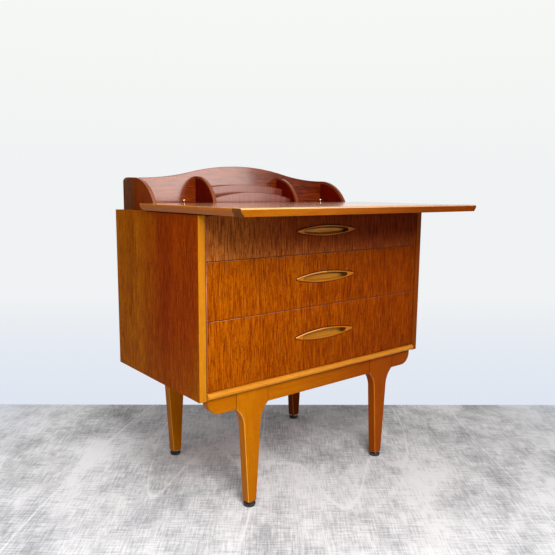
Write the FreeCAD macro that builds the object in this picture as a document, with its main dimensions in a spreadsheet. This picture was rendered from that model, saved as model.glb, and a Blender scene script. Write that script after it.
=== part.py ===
import FreeCAD, Part
import math
import os
from types import SimpleNamespace

import Sketcher

# A writing chest of three drawers. Its top board slides forward as a desk, and a
# letter rack stands behind it and sinks into a well when the board goes back.
# The origin is on the floor under the middle of the whole outline, from the front
# of the drawn board to the back of the case. X points to the right, -Y to the
# front and Z up. All lengths are in millimetres.

sizes = {
    # Case
    "caseWidth": 760,
    "caseDepth": 412,
    "caseHeight": 416,
    "legHeight": 300,
    "sideThickness": 20,
    "lippingDepth": 5,
    "bottomThickness": 17,
    "backThickness": 8,
    "backInset": 2,
    "partitionThickness": 12,
    "wellGap": 6,
    "partitionTopGap": 19,
    "railHeight": 16,
    "railDepth": 35,
    "railTopGap": 2,
    "dustThickness": 9,
    "mouldingHeight": 15,
    "mouldingNose": 6,
    "panelArris": 1.5,
    "cutOverrun": 5,
    # Drawers
    "frontThickness": 18,
    "frontSetback": 2.5,
    "frontSideGap": 1.2,
    "frontGap": 1.2,
    "topFrontHeight": 99,
    "middleFrontHeight": 133,
    "frontTopGap": 2.4,
    "drawerSideThickness": 10,
    "drawerBackThickness": 9,
    "drawerBottomThickness": 4,
    "drawerBottomRise": 6,
    "drawerGroove": 5,
    "drawerRearGap": 10,
    "drawerHeadroom": 9,
    "drawerSideGap": 1,
    "drawerBackDrop": 6,
    "slideGap": 0.3,
    # Pulls
    "pullLength": 200,
    "pullHeight": 27,
    "pullProud": 3,
    "pullSink": 11,
    "pullRaise": 7,
    "pullRound": 2.5,
    "pullEdge": 2,
    "hollowRim": 3.75,
    "hollowTip": 23,
    "hollowDepth": 11,
    "hollowRound": 4.5,
    "hollowEndSlope": 9,
    "hollowSideSlope": 3,
    "hollowCove": 2,
    # Desk board
    "boardOverhang": 10.2,
    "boardThickness": 16.8,
    "boardGap": 2.6,
    "boardForward": 171,
    "boardArris": 6,
    "boardBevel": 8,
    "boardLipping": 31,
    "boardRound": 1.5,
    "battenWidth": 15.4,
    "battenHeight": 18.6,
    "tongueReach": 6.6,
    "tongueHeight": 7.4,
    "tongueRise": 3.3,
    "battenRear": 12,
    "panelGroove": 7,
    "boardTravel": 160,
    # Letter rack
    "galleryBackThickness": 9,
    "galleryRearInset": 20,
    "galleryEndHeight": 84,
    "galleryHump": 38,
    "galleryShoulder": 36.4,
    "galleryTail": 186,
    "galleryCorner": 8,
    "galleryDrop": 200,
    "cheekThickness": 9,
    "cheekRadius": 125,
    "cheekInset": 39,
    "cheekTail": 16,
    "dividerThickness": 9,
    "dividerRadius": 100,
    "dividerSpan": 147.5,
    "dividerTop": 91,
    "floorThickness": 12,
    "floorRise": 6,
    "floorReach": 117,
    "rackThickness": 5,
    "rearRackSetback": 28,
    "rearRackHeight": 63,
    "rearRackSagitta": 12,
    "frontRackSetback": 68,
    "frontRackHeight": 41.5,
    "frontRackSagitta": 19.5,
    "knobInset": 87,
    "knobSetback": 94,
    "knobHeight": 22,
    "knobHeadRadius": 5.5,
    "knobHeadHeight": 4,
    "knobStemRadius": 2.5,
    "knobBaseRadius": 5,
    "knobBaseHeight": 2,
    "knobBevel": 1.6,
    # Leg frames
    "frameThickness": 26,
    "frontFrameInset": 5.5,
    "rearFrameInset": 14,
    "apronHeight": 40,
    "legInset": 151,
    "legHeadWidth": 96,
    "legShoulderWidth": 50,
    "legFootWidth": 25,
    "legCurveRise": 45,
    "earReach": 78,
    "rearEarReach": 58,
    "earRound": 33,
    "woodRound": 3,
    "cleatWidth": 18,
    "cleatHeight": 18,
    "cleatInset": 30,
    # Glides
    "glideRadius": 15,
    "glideHeight": 9,
    "glideBevel": 2.5,
    "collarRadius": 8,
    "collarHeight": 4,
}

# An edge nearer than this to a plane lies in it.
tolerance = 1e-3
fullTurn = 360

doc = FreeCAD.newDocument("writing_chest")
sheet = doc.addObject("Spreadsheet::Sheet", "Sizes")
for row, (name, value) in enumerate(sizes.items(), start=1):
    sheet.set("A%d" % row, name)
    sheet.set("B%d" % row, str(value))
    sheet.setAlias("B%d" % row, name)
doc.recompute()


# A size holds a number and the sheet formula that gives it.
class Size:
    def __init__(self, value, formula):
        self.value = value
        self.formula = formula

    def __add__(self, other):
        other = asSize(other)
        return Size(self.value + other.value, "(%s + %s)" % (self.formula, other.formula))

    def __radd__(self, other):
        return asSize(other) + self

    def __sub__(self, other):
        other = asSize(other)
        return Size(self.value - other.value, "(%s - %s)" % (self.formula, other.formula))

    def __rsub__(self, other):
        return asSize(other) - self

    def __mul__(self, other):
        other = asSize(other)
        return Size(self.value * other.value, "(%s * %s)" % (self.formula, other.formula))

    def __rmul__(self, other):
        return asSize(other) * self

    def __truediv__(self, other):
        other = asSize(other)
        return Size(self.value / other.value, "(%s / %s)" % (self.formula, other.formula))

    def __neg__(self):
        return Size(-self.value, "(0 - %s)" % self.formula)


def asSize(item):
    if isinstance(item, Size):
        return item
    return Size(float(item), str(item))


def rootOf(size):
    return Size(math.sqrt(size.value), "sqrt(%s)" % size.formula)


def arcRadius(halfChord, sagitta):
    return (halfChord * halfChord + sagitta * sagitta) / (2 * sagitta)


s = SimpleNamespace(**{name: Size(value, "Sizes." + name) for name, value in sizes.items()})
zero = asSize(0)
pieces = []


def bind(item, prop, size):
    item.setExpression(prop, asSize(size).formula)


def place(item, x, y, z):
    bind(item, "Placement.Base.x", x)
    bind(item, "Placement.Base.y", y)
    bind(item, "Placement.Base.z", z)


# A plain board between two opposite corners.
def board(label, low, high):
    item = doc.addObject("Part::Box", label)
    item.Label = label
    bind(item, "Length", high[0] - low[0])
    bind(item, "Width", high[1] - low[1])
    bind(item, "Height", high[2] - low[2])
    place(item, low[0], low[1], low[2])
    pieces.append(item)
    return item


def newBody(label):
    body = doc.addObject("PartDesign::Body", label)
    body.Label = label
    pieces.append(body)
    return body


def originFeature(body, role):
    return [item for item in body.Origin.OriginFeatures if item.Role == role][0]


# One corner of an outline. Where a centre and a radius are given, the outline
# reaches the corner along an arc about that centre.
def corner(x, y, centre=None, radius=None):
    return SimpleNamespace(x=asSize(x), y=asSize(y), centre=centre, radius=radius)


def vectorOf(point):
    return FreeCAD.Vector(point.x.value, point.y.value, 0)


def arcMiddle(start, end, centre, radius):
    toMiddle = (start + end) * 0.5 - centre
    toMiddle.normalize()
    return centre + toMiddle * radius


# A closed outline, fully constrained, with each corner bound to the sheet.
def outline(body, name, role, corners, lift=None):
    sketch = body.newObject("Sketcher::SketchObject", name)
    sketch.AttachmentSupport = [(originFeature(body, role), "")]
    sketch.MapMode = "FlatFace"
    if lift is not None:
        bind(sketch, "AttachmentOffset.Base.z", lift)
    ends = []
    for index, target in enumerate(corners):
        start = vectorOf(corners[index - 1])
        end = vectorOf(target)
        if target.centre is None:
            sketch.addGeometry(Part.LineSegment(start, end), False)
            ends.append((1, 2))
            continue
        centre = FreeCAD.Vector(target.centre[0].value, target.centre[1].value, 0)
        middle = arcMiddle(start, end, centre, target.radius.value)
        # A sketch's arcs all run anticlockwise.
        if (start - centre).cross(end - centre).z > 0:
            sketch.addGeometry(Part.Arc(start, middle, end), False)
            ends.append((1, 2))
        else:
            sketch.addGeometry(Part.Arc(end, middle, start), False)
            ends.append((2, 1))
    for index, target in enumerate(corners):
        last = (index + 1) % len(corners)
        sketch.addConstraint(Sketcher.Constraint("Coincident", index, ends[index][1], last, ends[last][0]))
        pinPoint(sketch, "DistanceX", index, ends[index][1], target.x)
        pinPoint(sketch, "DistanceY", index, ends[index][1], target.y)
        if target.centre is not None:
            radius = sketch.addConstraint(Sketcher.Constraint("Radius", index, target.radius.value))
            bind(sketch, "Constraints[%d]" % radius, target.radius)
    return sketch


def pinPoint(sketch, kind, edge, end, size):
    pin = sketch.addConstraint(Sketcher.Constraint(kind, -1, 1, edge, end, size.value))
    bind(sketch, "Constraints[%d]" % pin, size)


def pad(body, sketch, length, backward=False):
    feature = body.newObject("PartDesign::Pad", body.Label + "_pad")
    feature.Profile = sketch
    bind(feature, "Length", length)
    feature.Reversed = backward
    sketch.Visibility = False
    return feature


def revolve(body, sketch):
    feature = body.newObject("PartDesign::Revolution", body.Label + "_revolution")
    feature.Profile = sketch
    feature.ReferenceAxis = (sketch, ["V_Axis"])
    feature.Angle = fullTurn
    sketch.Visibility = False
    return feature


# A cut has to take something away from its body.
def checkCut(body, feature, before):
    doc.recompute()
    if body.Shape.Volume >= before:
        raise ValueError("%s cuts nothing from %s" % (feature.Name, body.Label))


def pocket(body, sketch, depth, forward=False):
    before = body.Shape.Volume
    feature = body.newObject("PartDesign::Pocket", sketch.Name + "_pocket")
    feature.Profile = sketch
    bind(feature, "Length", depth)
    feature.Reversed = forward
    sketch.Visibility = False
    checkCut(body, feature, before)
    return feature


def loftCut(body, sketch, deeper):
    before = body.Shape.Volume
    feature = body.newObject("PartDesign::SubtractiveLoft", sketch.Name + "_loft")
    feature.Profile = sketch
    feature.Sections = [deeper]
    feature.Ruled = True
    sketch.Visibility = False
    deeper.Visibility = False
    checkCut(body, feature, before)
    return feature


# Rounds the edges of the body's last feature whose middle the test accepts.
def roundEdges(body, radius, wanted):
    doc.recompute()
    base = body.Tip
    names = []
    for index, edge in enumerate(base.Shape.Edges, start=1):
        if wanted(edge.valueAt((edge.FirstParameter + edge.LastParameter) / 2)):
            names.append("Edge%d" % index)
    feature = body.newObject("PartDesign::Fillet", body.Label + "_round")
    feature.Base = (base, names)
    bind(feature, "Radius", radius)
    return feature


def rectangle(low, high):
    return [
        corner(low[0], low[1]), corner(high[0], low[1]),
        corner(high[0], high[1]), corner(low[0], high[1]),
    ]


def near(a, b):
    return abs(a - asSize(b).value) < tolerance


# Planes and levels of the case
halfWidth = s.caseWidth / 2
innerHalf = halfWidth - s.sideThickness
rearY = (s.caseDepth + s.boardForward) / 2
frontY = rearY - s.caseDepth
caseBottomZ = s.legHeight
caseTopZ = s.legHeight + s.caseHeight
bayBottomZ = caseBottomZ + s.bottomThickness
frontFaceY = frontY + s.frontSetback
frontBackY = frontFaceY + s.frontThickness
galleryRearY = rearY - s.galleryRearInset
galleryFaceY = galleryRearY - s.galleryBackThickness
partitionY = galleryFaceY - s.cheekRadius - s.wellGap - s.partitionThickness
drawerRearY = partitionY - s.drawerRearGap
backPanelY = rearY - s.backInset - s.backThickness
railTopZ = caseTopZ - s.railTopGap
railBottomZ = railTopZ - s.railHeight
railRearY = frontBackY + s.slideGap + s.railDepth

# Planes and levels of the desk board at rest, drawn forward. Pushed back, it
# ends level with the back of the case.
boardHalf = halfWidth + s.boardOverhang
boardBottomZ = caseTopZ + s.boardGap
boardTopZ = boardBottomZ + s.boardThickness
boardFrontY = frontY - s.boardForward
boardRearY = rearY - s.boardTravel
battenOuter = innerHalf - 2 * s.slideGap
battenInner = battenOuter - s.battenWidth
battenBottomZ = boardBottomZ - s.battenHeight
battenFrontY = railRearY + s.slideGap
battenRearY = boardRearY - s.battenRear
tongueOuter = battenOuter + s.tongueReach
tongueBottomZ = battenBottomZ + s.tongueRise
tongueTopZ = tongueBottomZ + s.tongueHeight

# Widths and levels of the letter rack at rest, raised
galleryHalf = innerHalf + s.panelGroove - 2 * s.slideGap
galleryEndZ = caseTopZ + s.galleryEndHeight
galleryBottomZ = caseTopZ - s.galleryTail
rackFloorZ = caseTopZ + s.floorRise

# Leg frames
legSpan = halfWidth - s.legInset
apronBottomZ = caseBottomZ - s.apronHeight
legBottomZ = s.glideHeight + s.collarHeight
apronHalf = legSpan - s.legHeadWidth / 2
earStart = legSpan + s.legHeadWidth / 2
frontFrameY = frontY + s.frontFrameInset
rearFrameY = rearY - s.rearFrameInset - s.frameThickness


def sidePanel(label, side):
    body = newBody(label)
    face = rectangle((frontY + s.lippingDepth, caseBottomZ), (rearY, caseTopZ))
    pad(body, outline(body, label + "_face", "YZ_Plane", face), s.sideThickness)
    doc.recompute()
    inner = s.sideThickness if side < 0 else zero
    lift = (galleryFaceY - s.slideGap, galleryBottomZ - s.galleryDrop - s.slideGap)
    top = (galleryRearY + s.slideGap, caseTopZ + s.cutOverrun)
    upright = outline(body, label + "_rack_groove", "YZ_Plane", rectangle(lift, top), inner)
    pocket(body, upright, s.panelGroove, side > 0)
    start = (battenFrontY - s.slideGap, tongueBottomZ - s.slideGap)
    end = (battenRearY + s.boardTravel + s.slideGap, tongueTopZ + s.slideGap)
    level = outline(body, label + "_board_groove", "YZ_Plane", rectangle(start, end), inner)
    pocket(body, level, s.panelGroove, side > 0)
    place(body, -halfWidth if side < 0 else innerHalf, zero, zero)


def sideLipping(label, side):
    body = newBody(label)
    face = rectangle((frontY, caseBottomZ), (frontY + s.lippingDepth, caseTopZ))
    pad(body, outline(body, label + "_face", "YZ_Plane", face), s.sideThickness)
    roundEdges(body, s.panelArris, lambda middle: near(middle.y, frontY))
    place(body, -halfWidth if side < 0 else innerHalf, zero, zero)


def moulding(label):
    body = newBody(label)
    radius = s.mouldingHeight / 2
    middleZ = bayBottomZ - radius
    tipY = frontY - s.mouldingNose
    centre = (tipY + radius, middleZ)
    nose = [
        corner(frontBackY, bayBottomZ),
        corner(centre[0], bayBottomZ),
        corner(tipY, middleZ, centre, radius),
        corner(centre[0], middleZ - radius, centre, radius),
        corner(frontBackY, middleZ - radius),
    ]
    pad(body, outline(body, label + "_nose", "YZ_Plane", nose), innerHalf * 2)
    place(body, -innerHalf, zero, zero)


def makeCase():
    for side, hand in ((-1, "left"), (1, "right")):
        sidePanel("side_panel_" + hand, side)
        sideLipping("side_lipping_" + hand, side)
    board("case_bottom", (-innerHalf, frontBackY, caseBottomZ), (innerHalf, backPanelY, bayBottomZ))
    board("case_back", (-innerHalf, backPanelY, caseBottomZ),
          (innerHalf, backPanelY + s.backThickness, railTopZ))
    board("well_partition", (-innerHalf, partitionY, bayBottomZ),
          (innerHalf, partitionY + s.partitionThickness, caseTopZ - s.partitionTopGap))
    board("front_top_rail", (-innerHalf, frontBackY + s.slideGap, railBottomZ),
          (innerHalf, railRearY, railTopZ))
    moulding("base_moulding")


# A long lens with round tips, lying along X about a given level.
def lens(halfLength, halfHeight, tip, level=zero):
    reach = halfLength - tip
    radius = (reach * reach + halfHeight * halfHeight - tip * tip) / (2 * (halfHeight - tip))
    ratio = radius / (radius - tip)
    x = reach * ratio
    z = (radius - halfHeight) * (ratio - 1)
    return [
        corner(x, level + z, (reach, level), tip),
        corner(-x, level + z, (zero, level + halfHeight - radius), radius),
        corner(-x, level - z, (-reach, level), tip),
        corner(x, level - z, (zero, level + radius - halfHeight), radius),
    ]


# A drawer front has a lens-shaped seat in its face, into which the pull is let.
def drawerFront(label, low, high, level):
    body = newBody(label)
    frontHalf = innerHalf - s.frontSideGap
    face = rectangle((-frontHalf, low), (frontHalf, high))
    pad(body, outline(body, label + "_face", "XZ_Plane", face), s.frontThickness)
    doc.recompute()
    seat = lens(s.pullLength / 2, s.pullHeight / 2, s.pullRound, level)
    pocket(body, outline(body, label + "_seat", "XZ_Plane", seat, s.frontThickness), s.pullSink)
    place(body, zero, frontBackY, zero)


# A pull stands a little proud of its front. The finger hollow is carved into it
# with sloping walls, so that its floor is a smaller lens, coved all round.
def drawerPull(label, level):
    body = newBody(label)
    thickness = s.pullSink + s.pullProud
    floorLift = thickness - s.hollowDepth
    halfLength = s.pullLength / 2
    halfHeight = s.pullHeight / 2
    face = lens(halfLength, halfHeight, s.pullRound)
    pad(body, outline(body, label + "_lens", "XZ_Plane", face), thickness)
    roundEdges(body, s.pullEdge, lambda middle: near(middle.y, -thickness))
    doc.recompute()
    rimLength = halfLength - s.hollowTip
    rimHeight = halfHeight - s.hollowRim
    rim = lens(rimLength, rimHeight, s.hollowRound)
    floor = lens(rimLength - s.hollowEndSlope, rimHeight - s.hollowSideSlope, s.hollowRound / 2)
    loftCut(body, outline(body, label + "_rim", "XZ_Plane", rim, thickness),
            outline(body, label + "_floor", "XZ_Plane", floor, floorLift))
    roundEdges(body, s.hollowCove, lambda middle: near(middle.y, -floorLift))
    place(body, zero, frontFaceY + s.pullSink, level)


def drawerSide(label, side, low, high):
    body = newBody(label)
    outer = side * (innerHalf - s.frontSideGap - s.drawerSideGap)
    inner = outer - side * s.drawerSideThickness
    slot = inner + side * s.drawerGroove
    slotLow = low + s.drawerBottomRise
    slotHigh = slotLow + s.drawerBottomThickness
    section = [
        corner(outer, low), corner(inner, low), corner(inner, slotLow), corner(slot, slotLow),
        corner(slot, slotHigh), corner(inner, slotHigh), corner(inner, high), corner(outer, high),
    ]
    pad(body, outline(body, label + "_section", "XZ_Plane", section), drawerRearY - frontBackY)
    place(body, zero, drawerRearY, zero)


def makeDrawer(name, frontLow, frontHeight, boxLow, boxHigh):
    frontHalf = innerHalf - s.frontSideGap
    frontHigh = frontLow + frontHeight
    pullLevel = (frontLow + frontHigh) / 2 + s.pullRaise
    drawerFront("drawer_front_" + name, frontLow, frontHigh, pullLevel)
    drawerPull("drawer_pull_" + name, pullLevel)
    drawerSide("drawer_side_left_" + name, -1, boxLow, boxHigh)
    drawerSide("drawer_side_right_" + name, 1, boxLow, boxHigh)
    insideHalf = frontHalf - s.drawerSideGap - s.drawerSideThickness
    panelHalf = insideHalf + s.drawerGroove
    panelLow = boxLow + s.drawerBottomRise
    panelHigh = panelLow + s.drawerBottomThickness
    board("drawer_bottom_" + name, (-panelHalf, frontBackY, panelLow), (panelHalf, drawerRearY, panelHigh))
    board("drawer_back_" + name, (-insideHalf, drawerRearY - s.drawerBackThickness, panelHigh),
          (insideHalf, drawerRearY, boxHigh - s.drawerBackDrop))


def makeDrawers():
    dustHalf = s.dustThickness / 2
    bottomLow = bayBottomZ + s.frontGap
    topLow = caseTopZ - s.frontTopGap - s.topFrontHeight
    middleLow = topLow - s.frontGap - s.middleFrontHeight
    lowerDustZ = middleLow - s.frontGap / 2
    upperDustZ = topLow - s.frontGap / 2
    for label, level in (("dust_board_lower", lowerDustZ), ("dust_board_upper", upperDustZ)):
        board(label, (-innerHalf, frontBackY + s.slideGap, level - dustHalf),
              (innerHalf, partitionY, level + dustHalf))
    makeDrawer("bottom", bottomLow, middleLow - s.frontGap - bottomLow,
               bayBottomZ + s.slideGap, lowerDustZ - dustHalf - s.drawerHeadroom)
    makeDrawer("middle", middleLow, s.middleFrontHeight,
               lowerDustZ + dustHalf + s.slideGap, upperDustZ - dustHalf - s.drawerHeadroom)
    makeDrawer("top", topLow, s.topFrontHeight,
               upperDustZ + dustHalf + s.slideGap, railBottomZ - s.drawerHeadroom)


# The desk board's section: an upright arris above and an undercut bevel below.
def boardSection():
    arrisZ = boardTopZ - s.boardArris
    underHalf = boardHalf - s.boardBevel
    return [
        corner(-underHalf, boardBottomZ), corner(underHalf, boardBottomZ), corner(boardHalf, arrisZ),
        corner(boardHalf, boardTopZ), corner(-boardHalf, boardTopZ), corner(-boardHalf, arrisZ),
    ]


def boardPiece(label, rear, length):
    body = newBody(label)
    pad(body, outline(body, label + "_section", "XZ_Plane", boardSection()), length)
    place(body, zero, rear, zero)
    return body


def boardBatten(label, side):
    body = newBody(label)
    section = [
        corner(side * battenInner, battenBottomZ), corner(side * battenOuter, battenBottomZ),
        corner(side * battenOuter, tongueBottomZ), corner(side * tongueOuter, tongueBottomZ),
        corner(side * tongueOuter, tongueTopZ), corner(side * battenOuter, tongueTopZ),
        corner(side * battenOuter, boardBottomZ), corner(side * battenInner, boardBottomZ),
    ]
    pad(body, outline(body, label + "_section", "XZ_Plane", section), battenRearY - battenFrontY)
    place(body, zero, battenRearY, zero)


def makeBoard():
    boardPiece("board_core", boardRearY, boardRearY - boardFrontY - s.boardLipping)
    lipping = boardPiece("board_lipping", boardFrontY + s.boardLipping, s.boardLipping)
    roundEdges(lipping, s.boardRound,
               lambda middle: near(middle.y, -s.boardLipping) and near(middle.z, boardTopZ))
    boardBatten("board_batten_left", -1)
    boardBatten("board_batten_right", 1)


# The back rises from level ends to a hump in the middle: two hollow arcs run
# into one full arc, all of one radius.
def galleryBack(label):
    body = newBody(label)
    humpHalf = galleryHalf - s.galleryShoulder
    turnX = humpHalf / 2
    turnRise = s.galleryHump / 2
    radius = arcRadius(turnX, turnRise)
    shoulder = s.galleryCorner
    hollowZ = galleryEndZ + radius
    shoulderX = galleryHalf - shoulder
    shoulderZ = galleryEndZ - shoulder
    corners = [
        corner(-galleryHalf, galleryBottomZ),
        corner(galleryHalf, galleryBottomZ),
        corner(galleryHalf, shoulderZ),
        corner(shoulderX, galleryEndZ, (shoulderX, shoulderZ), shoulder),
        corner(humpHalf, galleryEndZ),
        corner(turnX, galleryEndZ + turnRise, (humpHalf, hollowZ), radius),
        corner(-turnX, galleryEndZ + turnRise, (zero, galleryEndZ + s.galleryHump - radius), radius),
        corner(-humpHalf, galleryEndZ, (-humpHalf, hollowZ), radius),
        corner(-shoulderX, galleryEndZ),
        corner(-galleryHalf, shoulderZ, (-shoulderX, shoulderZ), shoulder),
    ]
    pad(body, outline(body, label + "_face", "XZ_Plane", corners), s.galleryBackThickness)
    place(body, zero, galleryRearY, zero)


# An upright whose front edge is a quarter round that falls from the back.
def galleryUpright(label, x, thickness, top, foot, radius):
    body = newBody(label)
    centreZ = top - radius
    footRise = foot - centreZ
    reach = rootOf(radius * radius - footRise * footRise)
    profile = [
        corner(zero, foot),
        corner(zero, top),
        corner(-reach, foot, (zero, centreZ), radius),
    ]
    pad(body, outline(body, label + "_profile", "YZ_Plane", profile), thickness)
    place(body, x, galleryFaceY, zero)


def rackBoard(label, setback, height, sagitta):
    body = newBody(label)
    half = s.dividerSpan - s.dividerThickness / 2
    crest = rackFloorZ + height
    radius = arcRadius(half, sagitta)
    face = [
        corner(-half, rackFloorZ),
        corner(half, rackFloorZ),
        corner(half, crest - sagitta),
        corner(-half, crest - sagitta, (zero, crest - radius), radius),
    ]
    pad(body, outline(body, label + "_face", "XZ_Plane", face), s.rackThickness)
    place(body, zero, galleryFaceY - setback + s.rackThickness, zero)


def knob(label, x):
    body = newBody(label)
    neckZ = s.knobHeight - s.knobHeadHeight
    half = [
        corner(zero, zero),
        corner(s.knobBaseRadius, zero),
        corner(s.knobBaseRadius, s.knobBaseHeight),
        corner(s.knobStemRadius, s.knobBaseHeight),
        corner(s.knobStemRadius, neckZ),
        corner(s.knobHeadRadius, neckZ),
        corner(s.knobHeadRadius, s.knobHeight - s.knobBevel),
        corner(s.knobHeadRadius - s.knobBevel, s.knobHeight),
        corner(zero, s.knobHeight),
    ]
    revolve(body, outline(body, label + "_half", "XZ_Plane", half))
    place(body, x, galleryFaceY - s.knobSetback, rackFloorZ)


def makeGallery():
    galleryBack("gallery_back")
    cheekOuter = halfWidth - s.cheekInset
    cheekInner = cheekOuter - s.cheekThickness
    foot = caseTopZ - s.cheekTail
    galleryUpright("gallery_cheek_left", -cheekOuter, s.cheekThickness, galleryEndZ, foot, s.cheekRadius)
    galleryUpright("gallery_cheek_right", cheekInner, s.cheekThickness, galleryEndZ, foot, s.cheekRadius)
    dividerX = s.dividerSpan + s.dividerThickness / 2
    dividerInner = s.dividerSpan - s.dividerThickness / 2
    top = caseTopZ + s.dividerTop
    for label, x in (("gallery_divider_left", -dividerX), ("gallery_divider_right", dividerInner)):
        galleryUpright(label, x, s.dividerThickness, top, rackFloorZ, s.dividerRadius)
    board("gallery_floor", (-cheekInner, galleryFaceY - s.floorReach, rackFloorZ - s.floorThickness),
          (cheekInner, galleryFaceY, rackFloorZ))
    rackBoard("rack_board_rear", s.rearRackSetback, s.rearRackHeight, s.rearRackSagitta)
    rackBoard("rack_board_front", s.frontRackSetback, s.frontRackHeight, s.frontRackSagitta)
    knob("gallery_knob_left", s.knobInset - cheekInner)
    knob("gallery_knob_right", cheekInner - s.knobInset)


# The edges along the outline of a plank's front or rear face.
def faceEdge(middle):
    return near(middle.y, zero) or near(middle.y, -s.frameThickness)


# A leg is one plank: a wide head that fills its place in the apron line, hollow
# curves down to the shoulder and a straight taper to the foot. Each curve runs
# on from the taper without a kink, which fixes its centre.
def leg(label, x, y):
    body = newBody(label)
    head = s.legHeadWidth / 2
    shoulder = s.legShoulderWidth / 2
    foot = s.legFootWidth / 2
    shoulderZ = apronBottomZ - s.legCurveRise
    out = head - shoulder
    taper = shoulder - foot
    drop = shoulderZ - legBottomZ
    slope = rootOf(taper * taper + drop * drop)
    chord = out * out + s.legCurveRise * s.legCurveRise
    radius = chord * slope / (2 * (out * drop - s.legCurveRise * taper))
    centre = shoulder + radius * drop / slope
    centreZ = shoulderZ - radius * taper / slope
    plank = [
        corner(-foot, legBottomZ),
        corner(foot, legBottomZ),
        corner(shoulder, shoulderZ),
        corner(head, apronBottomZ, (centre, centreZ), radius),
        corner(head, caseBottomZ),
        corner(-head, caseBottomZ),
        corner(-head, apronBottomZ),
        corner(-shoulder, shoulderZ, (-centre, centreZ), radius),
    ]
    pad(body, outline(body, label + "_plank", "XZ_Plane", plank), s.frameThickness)
    roundEdges(body, s.woodRound,
               lambda middle: faceEdge(middle) and middle.z < apronBottomZ.value)
    place(body, x, y + s.frameThickness, zero)


def ear(label, side, y, reach):
    body = newBody(label)
    end = earStart + reach
    turnX = side * (end - s.earRound)
    turnZ = apronBottomZ + s.earRound
    plank = [
        corner(side * earStart, caseBottomZ),
        corner(side * earStart, apronBottomZ),
        corner(turnX, apronBottomZ),
        corner(side * end, turnZ, (turnX, turnZ), s.earRound),
        corner(side * end, caseBottomZ),
    ]
    pad(body, outline(body, label + "_plank", "XZ_Plane", plank), s.frameThickness)
    roundEdges(body, s.woodRound,
               lambda middle: faceEdge(middle) and not near(middle.z, caseBottomZ)
               and not near(middle.x, side * earStart))
    place(body, zero, y + s.frameThickness, zero)


def apron(label, y):
    body = newBody(label)
    plank = rectangle((-apronHalf, apronBottomZ), (apronHalf, caseBottomZ))
    pad(body, outline(body, label + "_plank", "XZ_Plane", plank), s.frameThickness)
    roundEdges(body, s.woodRound, lambda middle: faceEdge(middle) and near(middle.z, apronBottomZ))
    place(body, zero, y + s.frameThickness, zero)


def glide(label, x, y):
    body = newBody(label)
    half = [
        corner(zero, zero),
        corner(s.glideRadius - s.glideBevel, zero),
        corner(s.glideRadius, s.glideBevel),
        corner(s.glideRadius, s.glideHeight),
        corner(s.collarRadius, s.glideHeight),
        corner(s.collarRadius, legBottomZ),
        corner(zero, legBottomZ),
    ]
    revolve(body, outline(body, label + "_half", "XZ_Plane", half))
    place(body, x, y + s.frameThickness / 2, zero)


def makeFrames():
    cleatHalf = apronHalf - s.cleatInset
    for end, y, reach in (("front", frontFrameY, s.earReach), ("rear", rearFrameY, s.rearEarReach)):
        apron(end + "_apron", y)
        cleatY = y + s.frameThickness if end == "front" else y - s.cleatWidth
        board(end + "_cleat", (-cleatHalf, cleatY, caseBottomZ - s.cleatHeight),
              (cleatHalf, cleatY + s.cleatWidth, caseBottomZ))
        for side, hand in ((-1, "left"), (1, "right")):
            leg("leg_%s_%s" % (end, hand), side * legSpan, y)
            ear("ear_%s_%s" % (end, hand), side, y, reach)
            glide("glide_%s_%s" % (end, hand), side * legSpan, y)


def checkDocument():
    doc.recompute()
    for item in doc.Objects:
        if "Invalid" in item.State or "Error" in item.State:
            raise ValueError("%s was not made" % item.Name)
    for item in pieces:
        if item.Shape.isNull() or not item.Shape.isValid() or len(item.Shape.Solids) != 1:
            raise ValueError("%s is not one sound solid" % item.Label)


def writePieces():
    os.makedirs("parts", exist_ok=True)
    for item in pieces:
        item.Shape.exportStep("parts/%s.step" % item.Label)
    print("%d pieces written" % len(pieces))


makeCase()
makeDrawers()
makeBoard()
makeGallery()
makeFrames()
checkDocument()
writePieces()
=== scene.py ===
import math

import bpy
from mathutils import Matrix, Vector


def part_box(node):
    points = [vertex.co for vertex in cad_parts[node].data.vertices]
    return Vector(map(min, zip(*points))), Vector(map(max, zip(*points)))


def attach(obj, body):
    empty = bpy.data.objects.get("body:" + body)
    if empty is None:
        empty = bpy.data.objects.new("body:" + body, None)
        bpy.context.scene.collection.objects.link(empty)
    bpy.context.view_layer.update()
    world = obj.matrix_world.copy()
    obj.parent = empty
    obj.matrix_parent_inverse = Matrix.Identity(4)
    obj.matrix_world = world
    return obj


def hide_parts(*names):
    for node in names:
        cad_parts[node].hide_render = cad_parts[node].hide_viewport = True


# A writing chest of three drawers. The desk board is drawn forward, and the letter
# rack stands behind it. Lengths are in metres, X to the right, -Y to the front.
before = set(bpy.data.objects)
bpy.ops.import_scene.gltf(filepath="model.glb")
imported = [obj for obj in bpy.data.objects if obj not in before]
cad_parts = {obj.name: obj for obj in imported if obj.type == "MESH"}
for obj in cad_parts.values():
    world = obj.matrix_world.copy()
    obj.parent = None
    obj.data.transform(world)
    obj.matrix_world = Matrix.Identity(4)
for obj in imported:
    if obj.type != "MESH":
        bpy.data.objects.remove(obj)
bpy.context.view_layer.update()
print("frame loaded")

levels = ("top", "middle", "bottom")
ends = ("front", "rear")
hands = ("left", "right")


# Camera and lamps.

photoView = {
    "place": (-1.04648, -1.20723, 0.77043),
    "yaw": 39.17, "pitch": 8.37, "roll": 0.51,  # in degrees
    "sensor": 36,
    "lensShare": 1.07124,  # focal length over the picture's side
}


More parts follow.
